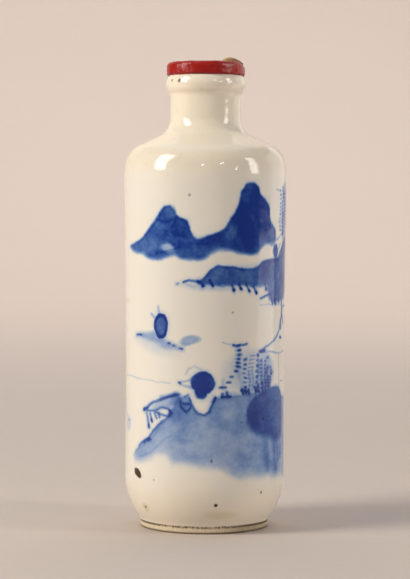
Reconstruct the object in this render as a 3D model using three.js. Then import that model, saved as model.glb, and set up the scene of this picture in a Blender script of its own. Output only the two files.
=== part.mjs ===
// A small cylindrical porcelain snuff bottle, hollow and open at the mouth, with a moulded red
// collar resting on its lip and a smear of old fixing wax left on top of the collar.
// Millimetres, +Z up. The origin is the centre of the foot, on the surface the bottle stands on.
// The front faces -Y, and +X is to the front's right.
import * as THREE from "three";

// Body: nearly straight wall, a little wider at the shoulder than at the waist.
const waistRadius = 13.72;
const waistHeight = 26;
const shoulderRadius = 14.05;
const shoulderHeight = 60.5;
const shoulderEaseRadius = 14;
const shoulderEaseDeg = 9;
const shoulderTurnRadius = 4.3;
const shoulderSlopeDeg = 26;
const baseCurveRadius = 12.2;
const baseCurveHeight = 8.9;
const glazeEndHeight = 1.9;

// Neck and lip: a short neck, and a soft bead of glaze around the mouth.
const neckRadius = 6.1;
const neckFilletRadius = 3.2;
const lipRadius = 6.89;
const lipHeight = 76.4;
const lipBeadRadius = 2.25;
const lipBeadHalfDeg = 38.5;
const boreRadius = 3.2;
const mouthEdgeRadius = 0.4;

// Inside: the wall keeps its thickness from the shoulder down, over a thicker floor.
const wallThickness = 2.1;
const floorHeight = 3.3;
const floorCornerRadius = 4.5;
const boreCornerRadius = 1.2;

// Foot: an unglazed ring, stepped in under the glaze line and hollowed beneath.
const glazeEdgeRadius = 11.32;
const glazeEdgeHeight = 1.25;
const footRadius = 11.05;
const footChamfer = 0.2;
const footInnerRadius = 9.25;
const footRecess = 1;

// Collar: a flat moulded ring, uneven round its rim and worn down on its right.
const collarRadius = 6.72;
const collarHeight = 2.3;
const collarEdgeRadius = 0.7;
const collarLowerEdgeRadius = 0.35;
const collarUnevenness = 0.05;
const wornEdgeDeg = 84;
const wornEdgeSpreadDeg = 26;
const wornEdgeDrop = 0.42;

// Wax left on the collar: a low curved smear that thins towards the worn edge.
const waxMiddleRadius = 5;
const waxHalfWidth = 0.95;
const waxStartDeg = 46;
const waxEndDeg = 84;
const waxHeight = 0.78;
const waxEndHeight = 0.36;

const bottleSides = 60;
const collarSides = 48;

const degrees = THREE.MathUtils.degToRad;
const shoulderTurnDeg = 90 - shoulderSlopeDeg;
const shoulderTan = Math.tan(degrees(shoulderSlopeDeg));

// Points along an arc of a profile. Angles are in degrees, with 0 pointing away from the axis.
function arcPoints(centre, radius, startDeg, endDeg, steps) {
  const points = [];
  for (let i = 0; i <= steps; i += 1) {
    const angle = degrees(startDeg + ((endDeg - startDeg) * i) / steps);
    points.push(new THREE.Vector2(centre.x + radius * Math.cos(angle), centre.y + radius * Math.sin(angle)));
  }
  return points;
}

// The body's outer radius at a height, a shallow parabola about the waist.
function wallRadius(height) {
  const along = (height - waistHeight) / (shoulderHeight - waistHeight);
  return waistRadius + (shoulderRadius - waistRadius) * along ** 2;
}

// The foot, from the centre of its hollow out to the unglazed ring's upper edge.
function footProfile() {
  return [
    new THREE.Vector2(0, footRecess),
    new THREE.Vector2(footInnerRadius - footChamfer, footRecess),
    new THREE.Vector2(footInnerRadius, footChamfer),
    new THREE.Vector2(footInnerRadius + footChamfer, 0),
    new THREE.Vector2(footRadius - footChamfer, 0),
    new THREE.Vector2(footRadius, footChamfer),
    new THREE.Vector2(footRadius, glazeEdgeHeight - footChamfer / 2),
    new THREE.Vector2(glazeEdgeRadius, glazeEdgeHeight),
  ];
}

// The glazed body, from the foot's glaze edge up to the end of the shoulder's turn.
function bodyProfile() {
  const baseCentre = new THREE.Vector2(wallRadius(baseCurveHeight) - baseCurveRadius, baseCurveHeight);
  const baseStartDeg = THREE.MathUtils.radToDeg(Math.asin((glazeEndHeight - baseCurveHeight) / baseCurveRadius));
  const points = arcPoints(baseCentre, baseCurveRadius, baseStartDeg, 0, 5);
  const wallSteps = 5;
  for (let i = 1; i < wallSteps; i += 1) {
    const height = baseCurveHeight + ((shoulderHeight - baseCurveHeight) * i) / wallSteps;
    points.push(new THREE.Vector2(wallRadius(height), height));
  }
  points.push(...shoulderPoints(0, 2, 6));
  return points;
}

// The shoulder: the wall eases inwards, then turns over to the slope. An inset of the wall's thickness
// gives the same shape on the inside.
function shoulderPoints(inset, easeSteps, turnSteps) {
  const easeCentre = new THREE.Vector2(shoulderRadius - shoulderEaseRadius, shoulderHeight);
  const between = shoulderEaseRadius - shoulderTurnRadius;
  const turnCentre = new THREE.Vector2(
    easeCentre.x + between * Math.cos(degrees(shoulderEaseDeg)),
    easeCentre.y + between * Math.sin(degrees(shoulderEaseDeg)),
  );
  return [
    ...arcPoints(easeCentre, shoulderEaseRadius - inset, 0, shoulderEaseDeg, easeSteps).slice(0, -1),
    ...arcPoints(turnCentre, shoulderTurnRadius - inset, shoulderEaseDeg, shoulderTurnDeg, turnSteps),
  ];
}

// The centre of a fillet between an upright wall and the shoulder's slope, which passes through slopeEnd.
function slopeFilletCentre(uprightRadius, filletRadius, slopeEnd) {
  const slope = degrees(shoulderSlopeDeg);
  const touchRadius = uprightRadius + filletRadius * (1 - Math.sin(slope));
  const touchHeight = slopeEnd.y + (slopeEnd.x - touchRadius) * shoulderTan;
  return new THREE.Vector2(uprightRadius + filletRadius, touchHeight + filletRadius * Math.cos(slope));
}

// The neck and its bead, from the foot of the neck to the flat top of the lip.
function neckProfile(slopeEnd) {
  const footCentre = slopeFilletCentre(neckRadius, neckFilletRadius, slopeEnd);
  const points = arcPoints(footCentre, neckFilletRadius, 180 + shoulderTurnDeg, 180, 7);
  const beadCentre = new THREE.Vector2(lipRadius - lipBeadRadius, lipHeight);
  const bead = arcPoints(beadCentre, lipBeadRadius, -lipBeadHalfDeg, lipBeadHalfDeg, 6);
  const underLipRadius = (bead[0].x - neckRadius) / (1 - Math.cos(degrees(lipBeadHalfDeg)));
  const underLipDrop = underLipRadius * Math.sin(degrees(lipBeadHalfDeg));
  const underLipCentre = new THREE.Vector2(neckRadius + underLipRadius, bead[0].y - underLipDrop);
  points.push(...arcPoints(underLipCentre, underLipRadius, 180, 180 - lipBeadHalfDeg, 3).slice(0, -1));
  points.push(...bead);
  return points;
}

// The bore and the hollow inside, from the mouth's edge down to the centre of the floor.
function insideProfile(topHeight) {
  const mouthCentre = new THREE.Vector2(boreRadius + mouthEdgeRadius, topHeight - mouthEdgeRadius);
  const points = arcPoints(mouthCentre, mouthEdgeRadius, 90, 180, 3);
  const turn = shoulderPoints(wallThickness, 1, 4).reverse();
  const boreCentre = slopeFilletCentre(boreRadius, boreCornerRadius, turn[0]);
  points.push(...arcPoints(boreCentre, boreCornerRadius, 180, 180 + shoulderTurnDeg, 3));
  points.push(...turn);
  const innerRadius = shoulderRadius - wallThickness;
  const floorCentre = new THREE.Vector2(innerRadius - floorCornerRadius, floorHeight + floorCornerRadius);
  points.push(...arcPoints(floorCentre, floorCornerRadius, 0, -90, 5));
  points.push(new THREE.Vector2(0, floorHeight));
  return points;
}

// A profile turned about the Z axis. The first column of points faces -Y.
function turned(profile, sides) {
  return new THREE.LatheGeometry(profile, sides).rotateX(Math.PI / 2);
}

const outside = [...footProfile(), ...bodyProfile()];
const upperOutside = neckProfile(outside.at(-1));
const lipTop = upperOutside.at(-1).y;

function bottle() {
  return turned([...outside, ...upperOutside, ...insideProfile(lipTop)], bottleSides);
}

// The collar's profile, closed on itself, starting at the inner bottom edge.
function collarProfile() {
  const top = lipTop + collarHeight;
  const lowerCentre = new THREE.Vector2(collarRadius - collarLowerEdgeRadius, lipTop + collarLowerEdgeRadius);
  const upperCentre = new THREE.Vector2(collarRadius - collarEdgeRadius, top - collarEdgeRadius);
  const holeCentre = new THREE.Vector2(boreRadius + collarLowerEdgeRadius, top - collarLowerEdgeRadius);
  const start = new THREE.Vector2(boreRadius, lipTop);
  return [
    start,
    ...arcPoints(lowerCentre, collarLowerEdgeRadius, -90, 0, 3),
    ...arcPoints(upperCentre, collarEdgeRadius, 0, 90, 5),
    ...arcPoints(holeCentre, collarLowerEdgeRadius, 90, 180, 3),
    start.clone(),
  ];
}

// Makes the turned ring uneven: low lumps round the rim, and the upper edge worn down at one place.
function collar() {
  const geometry = turned(collarProfile(), collarSides);
  const position = geometry.getAttribute("position");
  const rimStart = collarRadius - collarEdgeRadius;
  for (let i = 0; i < position.count; i += 1) {
    const vertex = new THREE.Vector3().fromBufferAttribute(position, i);
    const radius = Math.hypot(vertex.x, vertex.y);
    const angle = Math.atan2(vertex.x, -vertex.y);
    const outward = THREE.MathUtils.smoothstep(radius, rimStart - 1, collarRadius);
    const upward = THREE.MathUtils.smoothstep(vertex.z, lipTop, lipTop + collarHeight);
    const lumps = Math.sin(3 * angle + 0.6) + 0.6 * Math.sin(7 * angle + 1.9);
    const awayDeg = THREE.MathUtils.radToDeg(angle) - wornEdgeDeg;
    const worn = Math.exp(-((awayDeg / wornEdgeSpreadDeg) ** 2));
    const scale = 1 + (collarUnevenness * lumps * outward) / radius;
    position.setXYZ(i, vertex.x * scale, vertex.y * scale, vertex.z - wornEdgeDrop * worn * outward * upward);
  }
  return geometry;
}

// The wax is a band with round ends, bent along the ring, with a soft upper edge.
function wax() {
  const start = degrees(waxStartDeg - 90);
  const end = degrees(waxEndDeg - 90);
  const inner = waxMiddleRadius - waxHalfWidth;
  const outer = waxMiddleRadius + waxHalfWidth;
  const outline = new THREE.Shape();
  outline.absarc(0, 0, outer, start, end, false);
  outline.absarc(waxMiddleRadius * Math.cos(end), waxMiddleRadius * Math.sin(end), waxHalfWidth, end, end + Math.PI);
  outline.absarc(0, 0, inner, end, start, true);
  outline.absarc(
    waxMiddleRadius * Math.cos(start),
    waxMiddleRadius * Math.sin(start),
    waxHalfWidth,
    start + Math.PI,
    start + 2 * Math.PI,
  );
  const edge = waxHeight / 2;
  const geometry = new THREE.ExtrudeGeometry(outline, {
    depth: waxHeight - edge,
    curveSegments: 5,
    bevelEnabled: true,
    bevelThickness: edge,
    bevelSize: edge,
    bevelOffset: -edge,
    bevelSegments: 2,
  });
  const position = geometry.getAttribute("position");
  for (let i = 0; i < position.count; i += 1) {
    const across = Math.atan2(position.getX(i), -position.getY(i));
    const along = THREE.MathUtils.smoothstep(across, degrees(waxStartDeg), degrees(waxEndDeg));
    const height = THREE.MathUtils.lerp(waxHeight, waxEndHeight, along);
    position.setZ(i, (height * Math.max(0, position.getZ(i))) / waxHeight);
  }
  return geometry;
}

// A named mesh with its own material.
function piece(name, geometry, color, roughness) {
  const material = new THREE.MeshStandardMaterial({ color, roughness, metalness: 0 });
  const mesh = new THREE.Mesh(geometry, material);
  mesh.name = name;
  return mesh;
}

const snuffBottle = new THREE.Group();
snuffBottle.add(piece("bottle", bottle(), 0xd9cdb9, 0.16));
snuffBottle.add(piece("collar", collar(), 0x8e1f17, 0.34));
const waxSmear = piece("wax_smear", wax(), 0x97763f, 0.6);
waxSmear.position.z = lipTop + collarHeight;
snuffBottle.add(waxSmear);

export default snuffBottle;
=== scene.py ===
import math

import bpy
from mathutils import Matrix, Vector, kdtree


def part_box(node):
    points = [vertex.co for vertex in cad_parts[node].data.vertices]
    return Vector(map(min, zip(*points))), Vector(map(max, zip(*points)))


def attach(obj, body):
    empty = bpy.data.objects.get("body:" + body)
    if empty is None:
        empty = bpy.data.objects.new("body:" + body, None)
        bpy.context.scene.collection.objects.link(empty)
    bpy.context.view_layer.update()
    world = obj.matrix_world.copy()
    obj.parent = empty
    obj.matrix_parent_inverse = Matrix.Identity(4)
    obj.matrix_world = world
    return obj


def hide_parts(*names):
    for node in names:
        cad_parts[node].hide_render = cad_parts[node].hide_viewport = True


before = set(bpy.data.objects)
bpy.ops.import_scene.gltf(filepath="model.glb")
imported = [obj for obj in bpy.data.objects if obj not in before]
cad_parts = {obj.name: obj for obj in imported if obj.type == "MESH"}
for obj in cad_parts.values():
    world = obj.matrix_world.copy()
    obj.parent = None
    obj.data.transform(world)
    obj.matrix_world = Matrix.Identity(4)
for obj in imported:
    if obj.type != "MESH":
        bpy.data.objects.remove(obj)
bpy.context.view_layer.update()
mm = 0.001
bottleLow, bottleHigh = (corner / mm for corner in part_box("bottle"))
collarLow, collarHigh = (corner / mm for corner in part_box("collar"))
print("frame loaded, bottle", round(bottleHigh.z - bottleLow.z, 2), "mm to the lip")


# one socket's value, so that shader maths reads as maths
class Wire:
    def __init__(self, nodes, socket):
        self.nodes = nodes
        self.socket = socket

    def math(self, operation, *others):
        return self.nodes.node("ShaderNodeMath", {"operation": operation}, dict(enumerate((self, *others))))

    def __add__(self, other):
        return self.math("ADD", other)

    def __sub__(self, other):
        return self.math("SUBTRACT", other)

    def __rsub__(self, other):
        return self.nodes.node("ShaderNodeMath", {"operation": "SUBTRACT"}, {0: other, 1: self})

    def __mul__(self, other):
        return self.math("MULTIPLY", other)

    def __truediv__(self, other):
        return self.math("DIVIDE", other)

    def __neg__(self):
        return self.math("MULTIPLY", -1)

    def __abs__(self):
        return self.math("ABSOLUTE")

    __radd__ = __add__
    __rmul__ = __mul__

    def lesser(self, other):
        return self.math("MINIMUM", other)

    def greater(self, other):
        return self.math("MAXIMUM", other)

    def root(self):
        return self.math("SQRT")

    def clamped(self):
        return self.nodes.node("ShaderNodeClamp", {}, {0: self})

    def fade(self, nothing, full):  # smooth step from 0 at one value to 1 at another
        settings = {"interpolation_type": "SMOOTHSTEP", "clamp": False}
        return self.nodes.node("ShaderNodeMapRange", settings, {0: self, 1: nothing, 2: full})


# one node tree, filled by expressions
class Nodes:
    def __init__(self, tree):
        self.tree = tree

    def node(self, kind, settings=None, sockets=None, output=0):
        made = self.tree.nodes.new(kind)
        for key, value in (settings or {}).items():
            if key == "stops":
                self.setStops(made.color_ramp, value)
            elif key == "points":
                self.setPoints(made.mapping, value)
            else:
                setattr(made, key, value)
        for key, value in (sockets or {}).items():
            if isinstance(value, Wire):
                self.tree.links.new(value.socket, made.inputs[key])
            else:
                made.inputs[key].default_value = value
        return None if output is None else Wire(self, made.outputs[output])

    def setStops(self, ramp, stops):
        while len(ramp.elements) < len(stops):
            ramp.elements.new(0.5)
        for element, (position, colour) in zip(ramp.elements, stops):
            element.position = position
            element.color = (*colour, 1)

    def setPoints(self, mapping, points):
        mapping.use_clip = False
        mapping.extend = "HORIZONTAL"
        curve = mapping.curves[0]
        middle = (points[0][0] + points[-1][0]) / 2
        curve.points[0].location = points[0]
        curve.points[1].location = points[-1]
        while len(curve.points) < len(points):
            curve.points.new(middle, 0)
        for point, spot in zip(curve.points, points):
            point.location = spot
            point.handle_type = "AUTO_CLAMPED"
        mapping.update()

    def vector(self, operation, first, second):
        output = 1 if operation in ("DISTANCE", "DOT_PRODUCT") else 0
        return self.node("ShaderNodeVectorMath", {"operation": operation}, {0: first, 1: second}, output)

    def scaled(self, vector, scale):
        return self.node("ShaderNodeVectorMath", {"operation": "SCALE"}, {0: vector, "Scale": scale})

    def parts(self, vector):
        first = self.node("ShaderNodeSeparateXYZ", {}, {0: vector})
        return [Wire(self, output) for output in first.socket.node.outputs]


class Finish(Nodes):
    def __init__(self, name):
        self.material = bpy.data.materials.new(name)
        self.material.use_nodes = True
        super().__init__(self.material.node_tree)
        self.tree.nodes.clear()
        self.place = self.node("ShaderNodeTexCoord", output="Object")

    def noise(self, size, detail=2, rough=0.5, distortion=0, stretch=(1, 1, 1), seed=0, output=0):
        # size is the width of one blotch in millimetres
        scaled = self.vector("MULTIPLY", self.place, tuple(part / (size * mm) for part in stretch))
        moved = self.vector("ADD", scaled, (seed * 7.3, seed * 3.1, seed * 5.7))
        sockets = {"Vector": moved, "Scale": 1, "Detail": detail, "Roughness": rough}
        sockets["Distortion"] = distortion
        return self.node("ShaderNodeTexNoise", {}, sockets, output)

    def mix(self, amount, first, second, blend="MIX"):
        settings = {"data_type": "RGBA", "blend_type": blend}
        colours = [value if isinstance(value, Wire) else (*value, 1) for value in (first, second)]
        return self.node("ShaderNodeMix", settings, {0: amount, 6: colours[0], 7: colours[1]}, 2)

    def ramp(self, amount, stops):
        return self.node("ShaderNodeValToRGB", {"stops": stops}, {0: amount})

    def bump(self, height, depth, strength=1):
        sockets = {"Strength": strength, "Distance": depth * mm, "Height": height}
        return self.node("ShaderNodeBump", {}, sockets)

    def surface(self, colour, roughness, normal, shine=0.5):
        sockets = {"Base Color": colour, "Roughness": roughness, "Normal": normal}
        sockets["Specular IOR Level"] = shine
        shader = self.node("ShaderNodeBsdfPrincipled", {}, sockets)
        self.node("ShaderNodeOutputMaterial", {}, {"Surface": shader}, None)
        return self.material


# a node group, for a sum that the painting needs again and again
class Tool(Nodes):
    def __init__(self, name, numbers=(), vectors=()):
        super().__init__(bpy.data.node_groups.new(name, "ShaderNodeTree"))
        for kind, names in (("NodeSocketFloat", numbers), ("NodeSocketVector", vectors)):
            for given in names:
                self.tree.interface.new_socket(given, in_out="INPUT", socket_type=kind)
        self.tree.interface.new_socket("result", in_out="OUTPUT", socket_type="NodeSocketFloat")
        first = self.node("NodeGroupInput")
        self.given = [Wire(self, output) for output in first.socket.node.outputs if output.name]

    def result(self, wire):
        self.node("NodeGroupOutput", {}, {"result": wire}, None)
        return self.tree


def arcPoints(centre, radius, startDegrees, endDegrees, steps):
    turns = [math.radians(startDegrees + (endDegrees - startDegrees) * i / steps) for i in range(steps + 1)]
    return [(centre[0] + radius * math.cos(turn), centre[1] + radius * math.sin(turn)) for turn in turns]


def selectOnly(piece):
    bpy.ops.object.select_all(action="DESELECT")
    piece.select_set(True)
    bpy.context.view_layer.objects.active = piece


def selectNoMesh():
    # nothing of the active piece's mesh, so that code can select a part of it
    bpy.ops.object.mode_set(mode="EDIT")
    bpy.ops.mesh.select_all(action="DESELECT")
    bpy.ops.object.mode_set(mode="OBJECT")


def startEdit(name):
    bpy.ops.object.select_all(action="DESELECT")
    bpy.ops.mesh.primitive_plane_add(size=2 * mm, location=(0, 0, 0))
    piece = bpy.context.object
    piece.name = name
    piece.data.name = name
    bpy.ops.object.mode_set(mode="EDIT")
    return piece


def spunPiece(name, profile, steps):
    # profile is a list of (radius, height) in millimetres, drawn at the front and spun about Z
    piece = startEdit(name)
    bpy.ops.mesh.select_all(action="SELECT")
    bpy.ops.mesh.merge(type="CENTER")
    bpy.ops.transform.translate(value=(0, -profile[0][0] * mm, profile[0][1] * mm))
    for (radius, height), (nextRadius, nextHeight) in zip(profile, profile[1:]):
        step = (0, (radius - nextRadius) * mm, (nextHeight - height) * mm)
        bpy.ops.mesh.extrude_region_move(TRANSFORM_OT_translate={"value": step})
    bpy.ops.mesh.select_all(action="SELECT")
    bpy.ops.mesh.spin(steps=steps, angle=2 * math.pi, center=(0, 0, 0), axis=(0, 0, 1))
    bpy.ops.mesh.select_all(action="SELECT")
    bpy.ops.mesh.remove_doubles(threshold=0.002 * mm)
    bpy.ops.mesh.normals_make_consistent(inside=False)
    bpy.ops.object.mode_set(mode="OBJECT")
    return piece


def applyModifier(piece, kind, **values):
    made = piece.modifiers.new(kind.lower(), kind)
    for key, value in values.items():
        setattr(made, key, value)
    bpy.context.view_layer.objects.active = piece
    bpy.ops.object.modifier_apply(modifier=made.name)


def uneven(piece, size, strength):
    # soft unevenness left by the hand, both in millimetres
    texture = bpy.data.textures.new(piece.name + "Uneven", "CLOUDS")
    texture.noise_scale = size * mm
    texture.noise_depth = 1
    applyModifier(piece, "DISPLACE", texture=texture, strength=strength * mm, mid_level=0.5,
                  texture_coords="LOCAL")


def smooth(piece, degrees):
    selectOnly(piece)
    bpy.ops.object.shade_smooth_by_angle(angle=math.radians(degrees))


def place(piece, node, material):
    piece.data.materials.clear()
    piece.data.materials.append(material)
    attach(piece, "root")
    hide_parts(node)


bottleForm = {
    "waistRadius": 13.72,
    "waistHeight": 26,
    "shoulderRadius": bottleHigh.x,
    "shoulderHeight": 60.5,
    "shoulderEase": 14,
    "shoulderEaseAngle": 9,
    "shoulderTurn": 4.3,
    "shoulderSlope": 26,
    "baseCurve": 12.2,
    "baseCurveHeight": 8.9,
    "glazeEnd": 1.9,
    "neckRadius": 6.1,
    "neckFillet": 3.2,
    "lipRadius": 6.89,
    "lipHeight": 76.4,
    "lipBead": 2.25,
    "lipBeadHalf": 38.5,
    "boreRadius": 3.2,
    "mouthEdge": 0.4,
    "wall": 2.1,
    "floorHeight": 3.3,
    "floorCorner": 4.5,
    "boreCorner": 1.2,
    "glazeEdgeRadius": 11.32,
    "glazeEdgeHeight": 1.25,
    "glazeRoll": 0.12,
    "footRadius": 11.05,
    "footEdge": 0.2,
    "footInner": 9.25,
    "footRecess": 1,
    "recessCorner": 0.3,
    "wallRows": 24,
    "sides": 160,
}


def wallRadius(height):
    form = bottleForm
    along = (height - form["waistHeight"]) / (form["shoulderHeight"] - form["waistHeight"])
    return form["waistRadius"] + (form["shoulderRadius"] - form["waistRadius"]) * along ** 2


def slopeFillet(upright, fillet, slopeEnd):
    slope = math.radians(bottleForm["shoulderSlope"])
    touchRadius = upright + fillet * (1 - math.sin(slope))
    touchHeight = slopeEnd[1] + (slopeEnd[0] - touchRadius) * math.tan(slope)
    return upright + fillet, touchHeight + fillet * math.cos(slope)


def shoulderPoints(inset, easeSteps, turnSteps):
    # the wall eases inwards, then turns over to the slope
    form = bottleForm
    ease, easeAngle = form["shoulderEase"], form["shoulderEaseAngle"]
    centre = (form["shoulderRadius"] - ease, form["shoulderHeight"])
    between = ease - form["shoulderTurn"]
    turnCentre = (centre[0] + between * math.cos(math.radians(easeAngle)),
                  centre[1] + between * math.sin(math.radians(easeAngle)))
    points = arcPoints(centre, ease - inset, 0, easeAngle, easeSteps)[:-1]
    endAngle = 90 - form["shoulderSlope"]
    return points + arcPoints(turnCentre, form["shoulderTurn"] - inset, easeAngle, endAngle, turnSteps)


def straight(start, end, steps):
    return [tuple(a + (b - a) * i / steps for a, b in zip(start, end)) for i in range(1, steps)]


def footProfile():
    # from the recess under the bottle, round the bare foot, to the rolled edge of the glaze
    form = bottleForm
    corner, edge, roll = form["recessCorner"], form["footEdge"], form["glazeRoll"]
    inner, outer, seam = form["footInner"] + edge, form["footRadius"] - edge, form["glazeEdgeHeight"]
    points = arcPoints((form["footInner"] - corner, form["footRecess"] - corner), corner, 90, 0, 4)
    points += arcPoints((inner, edge), edge, 180, 270, 4)
    points += straight((inner, 0), (outer, 0), 4)
    points += arcPoints((outer, edge), edge, -90, 0, 4)
    points += [(form["footRadius"], seam - 0.3), (form["footRadius"] + 0.02, seam - 0.1)]
    return points + arcPoints((form["glazeEdgeRadius"] - roll, seam + roll), roll, -80, 0, 4)


def bodyProfile():
    form = bottleForm
    base, rows = form["baseCurveHeight"], form["wallRows"]
    centre = (wallRadius(base) - form["baseCurve"], base)
    start = math.degrees(math.asin((form["glazeEnd"] - base) / form["baseCurve"]))
    points = arcPoints(centre, form["baseCurve"], start, 0, 12)
    heights = [base + (form["shoulderHeight"] - base) * i / rows for i in range(1, rows)]
    points += [(wallRadius(height), height) for height in heights]
    return points + shoulderPoints(0, 6, 14)


def neckProfile(shoulderEnd):
    # the fillet above the shoulder, the neck and the bead at the lip
    form = bottleForm
    turn, half = 90 - form["shoulderSlope"], form["lipBeadHalf"]
    foot = slopeFillet(form["neckRadius"], form["neckFillet"], shoulderEnd)
    fillet = arcPoints(foot, form["neckFillet"], 180 + turn, 180, 16)
    bead = arcPoints((form["lipRadius"] - form["lipBead"], form["lipHeight"]), form["lipBead"],
                     -half, half, 12)
    underRadius = (bead[0][0] - form["neckRadius"]) / (1 - math.cos(math.radians(half)))
    underHeight = bead[0][1] - underRadius * math.sin(math.radians(half))
    under = arcPoints((form["neckRadius"] + underRadius, underHeight), underRadius, 180, 180 - half, 6)[:-1]
    return (straight(shoulderEnd, fillet[0], 4) + fillet + straight(fillet[-1], under[0], 5) + under + bead)


def insideProfile(lipTop):
    # over the lip, down the bore, and round the hollow to its floor
    form = bottleForm
    edge, bend = form["mouthEdge"], form["floorCorner"]
    mouth = arcPoints((form["boreRadius"] + edge, lipTop[1] - edge), edge, 90, 180, 6)
    shoulder = shoulderPoints(form["wall"], 4, 8)[::-1]
    boreFoot = slopeFillet(form["boreRadius"], form["boreCorner"], shoulder[0])
    bore = arcPoints(boreFoot, form["boreCorner"], 180, 270 - form["shoulderSlope"], 6)
    inner = form["shoulderRadius"] - form["wall"]
    floor = arcPoints((inner - bend, form["floorHeight"] + bend), bend, 0, -90, 10)
    points = straight(lipTop, mouth[0], 3) + mouth + straight(mouth[-1], bore[0], 6) + bore
    points += straight(bore[-1], shoulder[0], 4) + shoulder + straight(shoulder[-1], floor[0], 16) + floor
    return points + [(0, form["floorHeight"])]


def bottleProfile():
    body = bodyProfile()
    outside = [(0, bottleForm["footRecess"])] + footProfile() + body + neckProfile(body[-1])
    return outside, insideProfile(outside[-1])


def bakeMap(piece, outside, inside):
    # the painted outside takes most of the map, and the hidden inside a strip at its top
    tree = kdtree.KDTree(len(outside) + len(inside))
    rows = []
    for points, low, high in ((outside, 0.01, 0.86), (inside, 0.88, 0.99)):
        lengths = [0]
        for first, second in zip(points, points[1:]):
            lengths.append(lengths[-1] + math.dist(first, second))
        rows += [low + (high - low) * length / lengths[-1] for length in lengths]
    for index, (radius, height) in enumerate(outside + inside):
        tree.insert((radius * mm, height * mm, 0), index)
    tree.balance()
    mesh = piece.data
    layer = mesh.uv_layers.new(name="OFBake")
    rowOf = [rows[tree.find((math.hypot(v.co.x, v.co.y), v.co.z, 0))[1]] for v in mesh.vertices]
    for face in mesh.polygons:
        middle = math.atan2(face.center.x, -face.center.y)
        for corner in face.loop_indices:
            spot = mesh.vertices[mesh.loops[corner].vertex_index]
            offAxis = math.hypot(spot.co.x, spot.co.y) > 0.01 * mm
            turn = math.atan2(spot.co.x, -spot.co.y) if offAxis else middle
            turn += 2 * math.pi * round((middle - turn) / (2 * math.pi))
            layer.data[corner].uv = (0.5 + turn / (2 * math.pi) * 0.98, rowOf[spot.index])


# The painting. Places on it are millimetres round the wall from the middle of a side, then millimetres up.
outlineStep = 0.12


def stretchTool():
    # how far a spot is from a straight stretch of a stroke, or from the strokes before it
    tool = Tool("stretch", ("nearest",), ("spot", "start", "along", "share"))
    nearest, spot, start, along, share = tool.given
    away = tool.vector("SUBTRACT", spot, start)
    onStroke = tool.scaled(along, tool.vector("DOT_PRODUCT", away, share).clamped())
    return tool.result(tool.vector("DISTANCE", away, onStroke).lesser(nearest))


def ovalTool():
    # about how far outside an oval a spot is
    tool = Tool("oval", ("size",), ("spot", "middle", "along", "across"))
    size, spot, middle, along, across = tool.given
    away = tool.vector("SUBTRACT", spot, middle)
    first, second = (tool.vector("DOT_PRODUCT", away, axis) for axis in (along, across))
    return tool.result(((first * first + second * second).root() - 1) * size)


def edgeTool():
    # about how far a spot is below an outline, from the outline's heights here and a step on
    tool = Tool("edge", ("up", "here", "next"))
    up, here, onward = tool.given
    steep = (onward - here) / outlineStep
    return tool.result((here - up) / (steep * steep + 1).root())


def dabTool():
    # short level dabs, stacked and leaning, each by chance paler, darker or further out than the last
    tool = Tool("dabs", ("around", "up", "startAround", "startUp", "pitch", "count", "lean", "half", "thick"))
    around, up, startAround, startUp, pitch, count, lean, half, thick = tool.given
    rise = (up - startUp) / pitch
    row = rise.math("FLOOR")
    seed = row + startAround * 3.7
    chance = tool.node("ShaderNodeTexWhiteNoise", {"noise_dimensions": "1D"}, {"W": seed})
    across = around - startAround - (row + 0.5) * lean - (chance - 0.5) * half * 1.1
    level = abs(rise - row - 0.5) * pitch
    inRows = row.math("GREATER_THAN", -0.5) * (count - row).math("GREATER_THAN", 0.5)
    ends = (half - abs(across)).fade(-0.22, 0.25)
    return tool.result((thick - level).fade(-0.2, 0.14) * ends * inRows * (chance * 0.9 + 0.55))


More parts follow.
